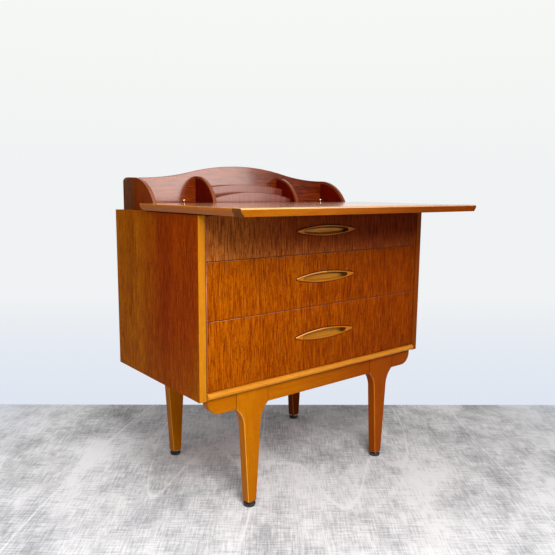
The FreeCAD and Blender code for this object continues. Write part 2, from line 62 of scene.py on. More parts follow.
def makeCamera():
    yaw, pitch, roll = (math.radians(photoView[name]) for name in ("yaw", "pitch", "roll"))
    ahead = Vector((math.sin(yaw) * math.cos(pitch), math.cos(yaw) * math.cos(pitch), -math.sin(pitch)))
    right = Vector((math.cos(yaw), -math.sin(yaw), 0))
    above = right.cross(ahead)
    rolledRight = math.cos(roll) * right + math.sin(roll) * above
    rolledAbove = math.cos(roll) * above - math.sin(roll) * right
    camera = bpy.data.objects.new("photoCamera", bpy.data.cameras.new("photoCamera"))
    camera.data.sensor_width = photoView["sensor"]
    camera.data.lens = photoView["sensor"] * photoView["lensShare"]
    turn = Matrix((rolledRight, rolledAbove, -ahead)).transposed().to_4x4()
    camera.matrix_world = Matrix.Translation(photoView["place"]) @ turn
    bpy.context.collection.objects.link(camera)
    bpy.context.scene.camera = camera


lampAim = (0, 0, 0.42)
lamps = {
    "keyLamp": {"place": (-0.72, -1.40, 1.52), "size": 1.0, "power": 41, "colour": (1, 1, 1)},
    "topLamp": {"place": (0.0, -0.4, 2.6), "size": 1.8, "power": 10, "colour": (1, 1, 1)},
    "windowLamp": {"place": (0.86, -1.55, 0.76), "size": 0.86, "power": 15, "colour": (1.0, 0.85, 0.78)},
}


def makeLamps():
    for name, values in lamps.items():
        lamp = bpy.data.lights.new(name, "AREA")
        lamp.shape = "DISK"
        lamp.size = values["size"]
        lamp.energy = values["power"]
        lamp.color = values["colour"]
        item = bpy.data.objects.new(name, lamp)
        item.location = values["place"]
        item.rotation_euler = (Vector(lampAim) - Vector(values["place"])).to_track_quat("-Z", "Y").to_euler()
        item.visible_diffuse = name != "windowLamp"  # that lamp shows in the gloss alone
        bpy.context.collection.objects.link(item)


# Materials.

class Signal:
    # A number or colour on its way through a material.
    def __init__(self, finish, socket):
        self.finish = finish
        self.socket = socket

    def maths(self, operation, first, second):
        return self.finish.add("ShaderNodeMath", {"operation": operation}, {0: first, 1: second})

    def __add__(self, other):
        return self.maths("ADD", self, other)

    def __radd__(self, other):
        return self.maths("ADD", other, self)

    def __sub__(self, other):
        return self.maths("SUBTRACT", self, other)

    def __rsub__(self, other):
        return self.maths("SUBTRACT", other, self)

    def __mul__(self, other):
        return self.maths("MULTIPLY", self, other)

    def __rmul__(self, other):
        return self.maths("MULTIPLY", other, self)

    def orLarger(self, other):
        return self.maths("MAXIMUM", self, other)


class Finish:
    def __init__(self, owner, coordinates="Object"):
        owner.use_nodes = True
        self.owner = owner
        self.tree = owner.node_tree
        self.tree.nodes.clear()
        self.place = self.add("ShaderNodeTexCoord", {}, {}, coordinates)

    # Adds any node: its settings first, then the values or links of its sockets.
    def add(self, kind, settings, sockets, output=0):
        node = self.tree.nodes.new(kind)
        for name, value in settings.items():
            setattr(node, name, value)
        for name, value in sockets.items():
            if isinstance(value, Signal):
                self.tree.links.new(value.socket, node.inputs[name])
            elif node.inputs[name].type == "RGBA":
                node.inputs[name].default_value = (*value, 1)
            else:
                node.inputs[name].default_value = value
        return Signal(self, node.outputs[output]) if node.outputs else None

    def vector(self, operation, values, output=0):
        return self.add("ShaderNodeVectorMath", {"operation": operation}, dict(enumerate(values)), output)

    def stretched(self, place, scale):
        return self.vector("MULTIPLY", (place, scale))

    # The share of a direction or place that lies along an axis.
    def along(self, axis):
        return self.vector("DOT_PRODUCT", (self.place, axis), 1)

    def noise(self, place, scale, detail=2.0, rough=0.5):
        return self.add("ShaderNodeTexNoise", {},
                        {"Vector": place, "Scale": scale, "Detail": detail, "Roughness": rough})

    def layer(self, place, scale, detail, rough):
        return self.noise(self.stretched(place, scale), 1.0, detail, rough)

    def ray(self, kind):
        return self.add("ShaderNodeLightPath", {}, {}, kind)

    # A number carried from one range to 0..1, held at both ends.
    def between(self, number, low, high, curve="LINEAR"):
        return self.add("ShaderNodeMapRange", {"clamp": True, "interpolation_type": curve},
                        {"Value": number, "From Min": low, "From Max": high})

    def mix(self, share, first, second, blend="MIX"):
        return self.add("ShaderNodeMix", {"data_type": "RGBA", "blend_type": blend},
                        {0: share, 6: first, 7: second}, 2)

    def bump(self, height, strength, distance):
        return self.add("ShaderNodeBump", {}, {"Height": height, "Strength": strength, "Distance": distance})

    def surface(self, sockets):
        self.finishWith(self.add("ShaderNodeBsdfPrincipled", {}, sockets))
        return self.owner

    def finishWith(self, shader, kind="ShaderNodeOutputMaterial"):
        self.add(kind, {}, {"Surface": shader})


# What a user may change in each wood: the grain's direction, its two colours, how
# strongly its layers show, how fine and long its fibres are, and its gloss. A wood
# gives what differs from the usual one, or from the one it is like.
warmSheen, whiteSheen = (1.0, 0.45, 0.03), (1.0, 1.0, 1.0)
usualWood = {
    "grain": "z", "bands": 0.5, "streaks": 1.0, "fibres": 0.7, "pores": 0.3, "fine": 1.0, "length": 1.0,
    "relief": 0.12, "gloss": 0.3, "specular": 0.2, "sheen": warmSheen, "coat": 0.0, "coatRough": 0.13,
    "rightShade": 0.4,
}
woods = {
    "frontVeneer": {
        "pale": (0.44, 0.105, 0.0008), "deep": (0.165, 0.018, 0.0002), "streaks": 0.5, "fibres": 3.2,
        "pores": 0.8, "fine": 1.5, "length": 1.5, "gloss": 0.4, "specular": 0.03, "rightShade": 0.72,
    },
    # The top front: a greyer pale colour as a painted sheen, and a painted shadow under the board over its
    # upper part, right of its left end.
    "frontTopSheenAndShadow": {
        "like": "frontVeneer", "pale": (0.50, 0.152, 0.024), "deep": (0.135, 0.022, 0.003), "bands": 0.4,
        "streaks": 0.3, "fibres": 3.3, "fine": 1.8, "length": 1.4,
        "heartAndShadow": {"tint": (0.56, 0.30, 0.15), "where": [
            ((1, 0, 0), -0.32, -0.10), ((0, 0, 1), 0.60, 0.66)]},
    },
    # Painted highlight on the bevels along the front's upper and left edges.
    "frontEdgeHighlight": {
        "pale": (0.74, 0.32, 0.19), "deep": (0.20, 0.055, 0.02), "bands": 0.8, "streaks": 3.0,
        "fibres": 0.6, "gloss": 0.34, "rightShade": 0.6,
    },
    # Dark brown for the front's upper and lower faces: the core's wood, darkened as painted shade in the gaps
    # between drawers.
    "frontCoreAndGapShade": {
        "grain": "x", "pale": (0.17, 0.052, 0.008), "deep": (0.085, 0.022, 0.003), "streaks": 1.2,
        "fibres": 0.8, "pores": 0.4, "gloss": 0.5, "specular": 0.1,
    },
    "sideVeneer": {
        "pale": (0.45, 0.125, 0.0010), "deep": (0.22, 0.040, 0.0003), "bands": 1.2, "streaks": 1.4,
        "fibres": 2.6, "pores": 0.8, "fine": 1.3, "length": 1.2, "gloss": 0.38, "specular": 0.015,
        "heartAndShadow": {"tint": (0.80, 0.42, 0.3), "where": [
            ((0, 1, 0), 0.18, 0.04), ((0, 1, 0.25), -0.045, 0.015), ((0, 0, 1), 0.10, 0.45)]},
    },
    "lipping": {
        "pale": (0.58, 0.225, 0.010), "deep": (0.40, 0.12, 0.004), "streaks": 0.9, "pores": 0.25,
        "gloss": 0.36, "specular": 0.06, "rightShade": 1.0,
    },
    # Painted shade: the right lipping is a darker copy of the left one.
    "lippingRightShaded": {
        "like": "lipping", "pale": (0.42, 0.135, 0.005), "deep": (0.26, 0.066, 0.002),
    },
    # Pale nosing wood, also used as a painted highlight on the board's upper arrises.
    "nosingWoodAndHighlight": {
        "grain": "x", "pale": (0.7, 0.29, 0.026), "deep": (0.48, 0.15, 0.008), "streaks": 0.9,
        "pores": 0.25, "gloss": 0.32, "specular": 0.25, "rightShade": 0.25,
    },
    "deskNosing": {
        "grain": "x", "pale": (0.32, 0.094, 0.001), "deep": (0.21, 0.045, 0.0006), "streaks": 1.1,
        "fibres": 0.8, "pores": 0.25, "specular": 0.04, "rightShade": 0.9,
    },
    # Painted highlight for the lipping's rounded upper arris.
    "deskArrisHighlight": {
        "grain": "x", "pale": (0.80, 0.46, 0.20), "deep": (0.62, 0.30, 0.09), "streaks": 1.1, "pores": 0.2,
        "gloss": 0.32, "specular": 0.5, "sheen": whiteSheen, "coat": 0.3, "rightShade": 0.5,
    },
    "legWood": {
        "pale": (0.54, 0.175, 0.001), "deep": (0.36, 0.088, 0.0006), "bands": 0.8, "pores": 0.2,
        "specular": 0.06, "rightShade": 1.0,
    },
    # A darker copy of the leg wood for the rear right leg: painted shade under the case.
    "legShade": {
        "like": "legWood", "pale": (0.29, 0.070, 0.001), "deep": (0.18, 0.034, 0.0006),
    },
    "railWood": {
        "like": "legWood", "grain": "x", "pale": (0.52, 0.165, 0.001), "deep": (0.33, 0.078, 0.0008),
        "gloss": 0.34, "specular": 0.05,
    },
    "pullWood": {
        "grain": "x", "pale": (0.56, 0.190, 0.010), "deep": (0.36, 0.100, 0.004), "bands": 0.6,
        "specular": 0.3, "rightShade": 0.2,
    },
    # A darker copy of the pull wood for the top pull: painted shade under the board.
    "pullShade": {
        "like": "pullWood", "pale": (0.40, 0.105, 0.006), "deep": (0.25, 0.050, 0.002), "rightShade": 0.3,
    },
    "hollowWood": {
        "like": "pullWood", "pale": (0.50, 0.21, 0.018), "deep": (0.33, 0.12, 0.008),
        "shade": (0.050, 0.012, 0.002),
    },
    "deskVeneer": {
        "grain": "x", "pale": (0.58, 0.23, 0.085), "deep": (0.35, 0.11, 0.032), "bands": 0.6,
        "streaks": 1.3, "fibres": 1.0, "pores": 0.4, "relief": 0.006, "gloss": 0.22, "specular": 0.5,
        "sheen": whiteSheen, "coat": 0.8, "coatRough": 0.10, "rightShade": 0.2,
    },
    "deskEdge": {
        "grain": "x", "pale": (0.50, 0.150, 0.020), "deep": (0.34, 0.085, 0.010), "streaks": 1.1,
        "fibres": 0.8, "gloss": 0.34,
    },
    "endGrain": {
        "grain": "y", "pale": (0.2, 0.065, 0.012), "deep": (0.11, 0.03, 0.005), "bands": 0.4,
        "streaks": 0.9, "fibres": 1.0, "pores": 0.8, "gloss": 0.45, "specular": 0.15,
    },
    "rackVeneer": {
        "grain": "x", "pale": (0.28, 0.043, 0.004), "deep": (0.066, 0.004, 0.0005), "bands": 0.7,
        "streaks": 1.4, "fibres": 2.4, "pores": 0.4, "fine": 1.5, "length": 1.6, "relief": 0.05,
        "gloss": 0.2, "specular": 0.5, "sheen": whiteSheen, "coat": 0.42, "coatRough": 0.08,
    },
    # Painted shade for the rack back beyond the cheeks.
    "rackEndShade": {
        "pale": (0.085, 0.030, 0.014), "deep": (0.040, 0.010, 0.004), "bands": 0.8, "streaks": 1.3,
        "fibres": 1.0, "pores": 0.6,
    },
    "slotVeneer": {
        "pale": (0.25, 0.055, 0.028), "deep": (0.14, 0.022, 0.010), "streaks": 1.6, "fibres": 1.1,
        "pores": 0.5, "gloss": 0.26, "specular": 0.45, "sheen": whiteSheen, "coat": 0.35,
    },
    "cheekVeneer": {
        "pale": (0.16, 0.006, 0.0008), "deep": (0.065, 0.0012, 0.0003), "bands": 0.9, "streaks": 1.3,
        "fibres": 0.9, "pores": 0.4, "gloss": 0.24, "specular": 0.08,
    },
    "cheekLip": {
        "pale": (0.22, 0.045, 0.007), "deep": (0.15, 0.026, 0.004), "bands": 0.4, "gloss": 0.28,
    },
    "cheekEdge": {
        "pale": (0.30, 0.085, 0.028), "deep": (0.19, 0.040, 0.011), "bands": 0.4, "gloss": 0.28,
        "specular": 0.4, "sheen": whiteSheen, "coat": 0.2,
    },
    # A lighter copy of the cheek veneer: painted light on the cheeks' outer faces.
    "cheekOuterLit": {
        "like": "cheekVeneer", "pale": (0.31, 0.056, 0.007), "deep": (0.14, 0.015, 0.0016), "streaks": 1.4,
        "gloss": 0.3, "specular": 0.1,
    },
    # Painted highlight along the upper left rim of the lower pulls.
    "pullRimHighlight": {
        "grain": "x", "pale": (0.92, 0.50, 0.22), "deep": (0.74, 0.32, 0.10), "bands": 0.6, "streaks": 1.6,
        "pores": 0.2, "gloss": 0.28, "specular": 0.4, "rightShade": 0.3,
    },
    # Painted highlight for the legs' front arrises.
    "legArrisHighlight": {
        "pale": (0.80, 0.36, 0.05), "deep": (0.62, 0.22, 0.02), "bands": 0.6, "pores": 0.2, "gloss": 0.26,
        "specular": 0.4, "rightShade": 0.9,
    },
    # Near black: dark joint lines on the legs and ears, and a painted shadow around each pull.
    "jointLineAndShadow": {
        "pale": (0.03, 0.006, 0.001), "deep": (0.015, 0.003, 0.0005), "bands": 0.4, "streaks": 0.8,
        "fibres": 0.6, "gloss": 0.5, "specular": 0.1,
    },
    "carcassWood": {
        "grain": "x", "pale": (0.4, 0.19, 0.075), "deep": (0.26, 0.105, 0.035), "bands": 0.7, "fibres": 0.8,
        "pores": 0.6, "gloss": 0.55, "sheen": whiteSheen,
    },
    "drawerWood": {
        "grain": "y", "pale": (0.56, 0.33, 0.15), "deep": (0.4, 0.205, 0.08), "bands": 0.7, "streaks": 0.9,
        "fibres": 0.8, "pores": 0.5, "gloss": 0.5, "specular": 0.25, "sheen": whiteSheen,
    },
    "drawerPanel": {
        "like": "drawerWood", "grain": "x", "pale": (0.5, 0.28, 0.12), "deep": (0.36, 0.18, 0.07),
    },
    "backPly": {
        "pale": (0.36, 0.17, 0.07), "deep": (0.23, 0.09, 0.033), "bands": 1.0, "fibres": 0.8, "pores": 0.6,
        "gloss": 0.6, "sheen": whiteSheen,
    },
}

# Features in a metre across the grain, their length over width, the noise's detail and
# roughness.
grainLayers = {
    "bands": (16, 9, 2.0, 0.5), "streaks": (150, 13, 4.0, 0.62),
    "fibres": (360, 9, 3.0, 0.5), "pores": (820, 7, 1.0, 0.5),
}
grainSizes = {
    "wander": (5, 2.5), "bend": 0.016, "poreLimits": (0.57, 0.70), "poreTint": 0.35, "poreDepth": 1.5,
    "relief": 0.0004, "streakRough": 0.10, "poreRough": 0.12,
}
# Painted shade: the wood is darker and redder towards the chest's right end, where less light falls.
rightShading = {"limits": (-0.26, 0.16), "tint": (0.60, 0.37, 0.5)}
# Painted shade in a hollow: it is darker on its faces that look down, at its ends and beyond a place on the
# right.
hollowShade = {"under": (0.05, 0.6), "ends": (0.08, 0.45), "right": (0.050, 0.066)}


def makeWood(name):
    own = woods[name]
    wood = {**usualWood, **woods.get(own.get("like"), {}), **own}
    finish = Finish(bpy.data.materials.new(name))

    def grainScale(across, stretch):
        scale = [across] * 3
        scale["xyz".index(wood["grain"])] = across / stretch
        return tuple(scale)

    # A slow wander bends the grain a little.
    slow = finish.stretched(finish.place, grainScale(*grainSizes["wander"]))
    wander = finish.add("ShaderNodeTexNoise", {}, {"Vector": slow, "Scale": 1.0, "Detail": 1.0}, 1)
    centred = finish.vector("SUBTRACT", (wander, (0.5, 0.5, 0.5)))
    bent = finish.vector("MULTIPLY_ADD", (centred, (grainSizes["bend"],) * 3, finish.place))

    def layer(kind, fine=1.0, length=1.0):
        across, stretch, detail, rough = grainLayers[kind]
        return finish.layer(bent, grainScale(across * fine, stretch * fine * length), detail, rough)

    bands = layer("bands")
    streaks = layer("streaks", 1.0, wood["length"])
    fibres = layer("fibres", wood["fine"], wood["length"])
    pores = finish.between(layer("pores"), *grainSizes["poreLimits"]) * wood["pores"]
    tone = 0.5
    for kind, grain in (("bands", bands), ("streaks", streaks), ("fibres", fibres)):
        tone = tone + wood[kind] * (grain - 0.5)
    colour = finish.mix(finish.between(tone, 0.0, 1.0), wood["deep"], wood["pale"])
    side = finish.add("ShaderNodeSeparateXYZ", {}, {"Vector": finish.place}, "X")
    # Painted shade towards the chest's right end.
    rightShadeMix = finish.between(side, *rightShading["limits"]) * wood["rightShade"]
    colour = finish.mix(rightShadeMix, colour, rightShading["tint"], "MULTIPLY")
    # A redder heart in the side veneer, and in the top front a painted shadow under the board: each lies
    # where every one of its (axis, start, end) is reached.
    if "heartAndShadow" in wood:
        heartAndShadow = 1.0
        for axis, start, end in wood["heartAndShadow"]["where"]:
            heartAndShadow = heartAndShadow * finish.between(finish.along(axis), start, end)
        colour = finish.mix(heartAndShadow, colour, wood["heartAndShadow"]["tint"], "MULTIPLY")
    # Painted shade in the pull's hollow.
    if "shade" in wood:
        facing = finish.add("ShaderNodeTexCoord", {}, {}, "Normal")
        down = finish.vector("DOT_PRODUCT", (facing, (0, 0, -1)), 1)
        sideways = finish.vector("DOT_PRODUCT", (facing, (1, 0, 0)), 1)
        hidden = finish.between(down, *hollowShade["under"])
        hidden = hidden.orLarger(finish.between(sideways * sideways, *hollowShade["ends"]))
        hidden = hidden.orLarger(finish.between(finish.along((1, 0, 0)), *hollowShade["right"]))
        colour = finish.mix(hidden, colour, wood["shade"])
    colour = finish.mix(pores, colour, tuple(grainSizes["poreTint"] * part for part in wood["deep"]))
    relief = fibres - pores * grainSizes["poreDepth"]
    rough = wood["gloss"] + grainSizes["streakRough"] * (streaks - 0.5) + grainSizes["poreRough"] * pores
    return finish.surface({
        "Base Color": colour, "Roughness": rough,
        "Specular IOR Level": wood["specular"], "Specular Tint": wood["sheen"],
        "Coat Weight": wood["coat"], "Coat Roughness": wood["coatRough"],
        "Normal": finish.bump(relief, wood["relief"], grainSizes["relief"]),
    })


metals = {
    "brass": {
        "dull": (0.66, 0.46, 0.24), "bright": (0.88, 0.70, 0.48), "scale": 260.0, "limits": (0.35, 0.7),
        "rough": 0.16, "wornRough": 0.2,
    },
    "pinSteel": {
        "dull": (0.42, 0.41, 0.39), "bright": (0.72, 0.71, 0.68), "scale": 300.0, "limits": (0.0, 1.0),
        "rough": 0.2, "wornRough": 0.25,
    },
}
plastic = {
    "clean": (0.012, 0.012, 0.013), "dusty": (0.05, 0.048, 0.045), "limits": (0.45, 0.75), "scale": 90.0,
    "rough": 0.36, "dustRough": 0.3, "grainScale": 900.0, "grain": 0.1, "grainDepth": 0.0003,
}


def makeMetal(name):
    metal = metals[name]
    finish = Finish(bpy.data.materials.new(name))
    worn = finish.noise(finish.place, metal["scale"], 3.0)
    colour = finish.mix(finish.between(worn, *metal["limits"]), metal["dull"], metal["bright"])
    rough = metal["rough"] + metal["wornRough"] * worn
    return finish.surface({"Base Color": colour, "Metallic": 1.0, "Roughness": rough})


def makePlastic():
    finish = Finish(bpy.data.materials.new("glidePlastic"))
    dust = finish.noise(finish.place, plastic["scale"], 4.0, 0.6)
    grain = finish.noise(finish.place, plastic["grainScale"])
    colour = finish.mix(finish.between(dust, *plastic["limits"]), plastic["clean"], plastic["dusty"])
    return finish.surface({
        "Base Color": colour,
        "Roughness": plastic["rough"] + plastic["dustRough"] * dust,
        "Normal": finish.bump(grain, plastic["grain"], plastic["grainDepth"]),
    })


# The floor is a worn, pale weave that fades out and ends at the foot of the wall. Painted shade makes it
# darker further back and towards the right.
floorSizes = {
    "radius": 14, "corners": 96, "clearRadius": 0.75, "fadeRadius": 1.5,
    "wallFoot": 0.470, "wallFar": 2.6, "wallTurn": 0.022, "wallEdge": 0.004,
    "worn": ((4.2, 3.0, 1.0), 8.0, 0.74), "trail": ((3.4, 0.6, 1.0), 1.0, 0.5),
    "warp": ((16.0, 260.0, 1.0), 4.0, 0.7), "weft": ((260.0, 16.0, 1.0), 4.0, 0.7), "threads": 0.55,
    "creaseWidth": 0.00003, "crease": 0.09, "cloud": (0.29, 0.60),
    "nearDark": (0.40, 0.42, 0.45), "nearPale": (1.0, 1.0, 1.0), "nearToFar": (-0.70, 0.36),
    "farDark": (0.26, 0.255, 0.25), "farPale": (0.86, 0.85, 0.83),
    "floorRightShade": (0.80, 0.80, 0.80), "leftToRight": (-0.7, 0.25), "rough": 0.85, "specular": 0.1,
}
roomSizes = {
    "white": (0.87, 0.89, 0.90), "high": (0.93, 0.94, 0.91), "foot": (0.74, 0.79, 0.88),
    "dim": (0.07, 0.05, 0.035), "glow": (0.55, 0.56, 0.60), "shade": (0.07, 0.055, 0.05),
    "whiteWall": (0.8, 0.6, 0.0), "wallLimits": (0.45, 0.85), "heightLimits": (0.0, 0.30),
    "softLight": (-0.34, -0.24, 0.91), "lightLimits": (-0.25, 0.95),
}


def makeFloorFinish():
    size = floorSizes
    finish = Finish(bpy.data.materials.new("paleFloor"))
    yaw = math.radians(photoView["yaw"])
    depth = finish.along((math.sin(yaw), math.cos(yaw), 0))
    across = finish.along((math.cos(yaw), -math.sin(yaw), 0))
    spot = finish.add("ShaderNodeCombineXYZ", {}, {"X": across, "Y": depth})
    worn, trail, warp, weft = (finish.layer(spot, *size[name]) for name in ("worn", "trail", "warp", "weft"))
    crease = 1.0 - finish.between((trail - 0.5) * (trail - 0.5), 0.0, size["creaseWidth"])
    weave = worn + size["threads"] * (warp - 0.5) + size["threads"] * (weft - 0.5) + size["crease"] * crease
    cloud = finish.between(weave, *size["cloud"])
    near = finish.mix(cloud, size["nearDark"], size["nearPale"])
    far = finish.mix(cloud, size["farDark"], size["farPale"])
    # Painted shade: darker towards the back and towards the right.
    colour = finish.mix(finish.between(depth, *size["nearToFar"]), near, far)
    colour = finish.mix(finish.between(across, *size["leftToRight"]), colour, size["floorRightShade"], "MULTIPLY")
    floor = finish.add("ShaderNodeBsdfPrincipled", {}, {
        "Base Color": colour, "Roughness": size["rough"], "Specular IOR Level": size["specular"],
    })
    distance = finish.vector("LENGTH", (finish.place,), 1)
    fade = finish.between(distance, size["clearRadius"], size["fadeRadius"], "SMOOTHSTEP")
    wallDepth = depth - size["wallTurn"] * across
    foot, edge = size["wallFoot"], size["wallEdge"]
    fade = fade.orLarger(finish.between(wallDepth, foot - edge, foot + edge))
    # Painted shade: the wall is bluish grey at its foot and turns white further back.
    wall = finish.mix(finish.between(wallDepth, foot, size["wallFar"]), roomSizes["foot"], roomSizes["white"])
    white = finish.add("ShaderNodeEmission", {}, {"Color": wall, "Strength": 1.0})
    shown = fade * finish.ray("Is Camera Ray")
    finish.finishWith(finish.add("ShaderNodeMixShader", {}, {0: shown, 1: floor, 2: white}))
    return finish.owner


# The room is white behind the chest, dim on the viewer's side, and its soft light
# comes from above and from the front left.
def makeWorld():
    room = roomSizes
    world = bpy.data.worlds.new("studio")
    bpy.context.scene.world = world
    finish = Finish(world, "Generated")
    behind = finish.between(finish.along(room["whiteWall"]), *room["wallLimits"])
    mirrored = finish.mix(behind, room["dim"], room["white"])
    lit = finish.between(finish.along(room["softLight"]), *room["lightLimits"])
    soft = finish.mix(lit, room["shade"], room["glow"])
    indirect = finish.mix(finish.ray("Is Glossy Ray"), soft, mirrored)
    # Painted shade: the wall seen behind is greyer low down and paler higher up.
    height = finish.between(finish.along((0, 0, 1)), *room["heightLimits"])
    wall = finish.mix(height, room["white"], room["high"])
    colour = finish.mix(finish.ray("Is Camera Ray"), indirect, wall)
    background = finish.add("ShaderNodeBackground", {}, {"Color": colour, "Strength": 1.0})
    finish.finishWith(background, "ShaderNodeOutputWorld")


# Modelling helpers.

sameLength, weldLength, nearLength = 0.00001, 0.00002, 0.0001
# Shares of a direction along an axis: almost none, a slant, half and almost all of it.
crosswise, slanted, halfway, lengthwise = 0.1, 0.3, 0.5, 0.9


# Tells whether two lengths are the same.
def at(one, other, within=sameLength):
    return abs(one - other) < within


def deselectAll():
    bpy.ops.object.select_all(action="DESELECT")


def edit():
    bpy.ops.object.mode_set(mode="EDIT")


def leaveEdit():
    bpy.ops.object.mode_set(mode="OBJECT")


def selectAll():
    bpy.ops.mesh.select_all(action="SELECT")


def moveOut(way):
    bpy.ops.mesh.extrude_region_move(TRANSFORM_OT_translate={"value": way})


# Turns all faces outwards and ends the editing.
def closeUp():
    selectAll()
    bpy.ops.mesh.normals_make_consistent(inside=False)
    leaveEdit()


def named(name):
    item = bpy.context.object
    item.name = name
    item.data.name = name
    return item


def activate(item):
    deselectAll()
    item.select_set(True)
    bpy.context.view_layer.objects.active = item


def applyPlace(item):
    activate(item)
    bpy.ops.object.transform_apply(location=True, rotation=True, scale=True)


# Selects the faces or edges whose middle the test accepts.
def pick(item, kind, test):
    leaveEdit()
    mesh = item.data
    for group in (mesh.polygons, mesh.edges, mesh.vertices):
        group.foreach_set("select", [False] * len(group))
    if kind == "FACE":
        for face in mesh.polygons:
            face.select = test(face.center, face.normal)
    else:
        for edge in mesh.edges:
            start, end = (mesh.vertices[index].co for index in edge.vertices)
            edge.select = test((start + end) / 2, (end - start).normalized())
    bpy.context.tool_settings.mesh_select_mode = (False, kind == "EDGE", kind == "FACE")
    edit()


# Rounds the edges that the test accepts.
def roundEdges(item, test, width, segments):
    pick(item, "EDGE", test)
    bpy.ops.mesh.bevel(offset=width, segments=segments, profile=0.5)
    leaveEdit()


def applied(item, kind, **settings):
    activate(item)
    modifier = item.modifiers.new(kind.lower(), kind)
    for name, value in settings.items():
        setattr(modifier, name, value)
    bpy.ops.object.modifier_apply(modifier=modifier.name)


def smooth(item, angle=40):
    activate(item)
    bpy.ops.object.shade_smooth_by_angle(angle=math.radians(angle))
    applied(item, "WEIGHTED_NORMAL", keep_sharp=True)


# Eases every sharp edge and evens the shading.
def easeEdges(item, width, segments=3, angle=35):
    applied(item, "BEVEL", width=width, segments=segments, limit_method="ANGLE",
            angle_limit=math.radians(angle), use_clamp_overlap=True)
    smooth(item)


def block(name, low, high):
    deselectAll()
    low, high = Vector(low), Vector(high)
    bpy.ops.mesh.primitive_cube_add(size=1, location=(low + high) / 2, scale=high - low)
    item = named(name)
    applyPlace(item)
    return item


# A single point in edit mode, from which an outline is drawn.
def startPoint(name, place):
    deselectAll()
    bpy.ops.mesh.primitive_plane_add(size=0.001, location=place)
    item = named(name)
    applyPlace(item)
    edit()
    bpy.ops.mesh.select_mode(type="VERT")
    selectAll()
    bpy.ops.mesh.merge(type="CENTER")
    return item


# A plate is drawn point by point in the XZ or YZ plane. A step is a corner, or an
# arc given by its centre, its angle in degrees (anticlockwise from the front or the
# right) and its count of chords. With a far side the outline is filled and thickened.
def plate(name, plane, start, steps, near, far=None):
    flat = plane == "XZ"

    def placed(a, b):
        return Vector((a, near, b)) if flat else Vector((near, a, b))

    item = startPoint(name, placed(*start))
    here = Vector(start)
    for step in steps:
        if len(step) == 2:
            moveOut(placed(*step) - placed(*here))
            here = Vector(step)
        else:
            centre, degrees, count = step
            angle = math.radians(degrees)
            bpy.ops.mesh.spin(steps=count, angle=angle, center=placed(*centre),
                              axis=(0, 1, 0) if flat else (-1, 0, 0))
            arm = here - Vector(centre)
            here = Vector(centre) + Matrix.Rotation(angle, 2) @ arm
    selectAll()
    bpy.ops.mesh.remove_doubles(threshold=weldLength)
    if far is None:
        leaveEdit()
        return item
    selectAll()
    bpy.ops.mesh.edge_face_add()
    moveOut((0, far - near, 0) if flat else (far - near, 0, 0))
    closeUp()
    return item


# A turned piece in the middle of a node's box: the profile runs from the axis outwards
# and back, as (radius, height).
def turned(name, low, high, profile, count):
    base = Vector(((low.x + high.x) / 2, (low.y + high.y) / 2, low.z))
    item = startPoint(name, base + Vector((profile[0][0], 0, profile[0][1])))
    for last, this in zip(profile, profile[1:]):
        moveOut((this[0] - last[0], 0, this[1] - last[1]))
    selectAll()
    bpy.ops.mesh.spin(steps=count, angle=math.tau, center=base, axis=(0, 0, 1))
    selectAll()
    bpy.ops.mesh.remove_doubles(threshold=weldLength)
    closeUp()
    return item


def joined(first, second):
    activate(first)
    second.select_set(True)
    bpy.ops.object.join()
    return first


def paint(item, finish, test=None):
    material = finishes[finish]
    if material.name not in item.data.materials:
        item.data.materials.append(material)
    index = item.data.materials.find(material.name)
    for face in item.data.polygons:
        if test is None or test(face.center, face.normal):
            face.material_index = index


def seat(item, body, slot, *nodes):
    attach(item, body)
    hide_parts(*nodes)


# Pieces.

# The pull is a long lens with round tips. Its hollow runs from a rim to a smaller floor.
# A lens is given by its length, its height and its tips' radius.
pullSizes = {
    "pad": (0.200, 0.027, 0.0025), "edge": 0.0018, "sink": 0.011, "joint": 0.0017,
    "rim": (0.154, 0.0195, 0.0045), "lip": 0.0007, "slack": 0.0003,
    "floor": (0.136, 0.0135), "depth": 0.011, "cove": 0.0018,
    "shadowBow": 2.1, "shadowWidth": 0.0012, "litEdge": 0.2,
    "hollowStart": 0.0009, "hollowMargin": 0.0002, "hollowBow": 0.0065, "chords": 72, "tipChords": 8,
}


def lensRadius(length, height, tip):
    reach, rise = length / 2 - tip, height / 2
    return (reach * reach + rise * rise - tip * tip) / (2 * (rise - tip))


# A lens drawn about a height: its start and its steps.
def lensOutline(z, lens, chords):
    length, height, tip = lens
    reach, radius = length / 2 - tip, lensRadius(length, height, tip)
    lower = radius - height / 2
    ratio = radius / (radius - tip)
    touch = Vector((reach * ratio, lower * (ratio - 1)))
    sweep = math.degrees(2 * math.atan2(touch.x, touch.y + lower))
    tipSweep, tipChords = 180 - sweep, pullSizes["tipChords"]
    return (-touch.x, z - touch.y), [
        ((0, z + lower), sweep, chords), ((reach, z), tipSweep, tipChords),
        ((0, z - lower), sweep, chords), ((-reach, z), tipSweep, tipChords),
    ]


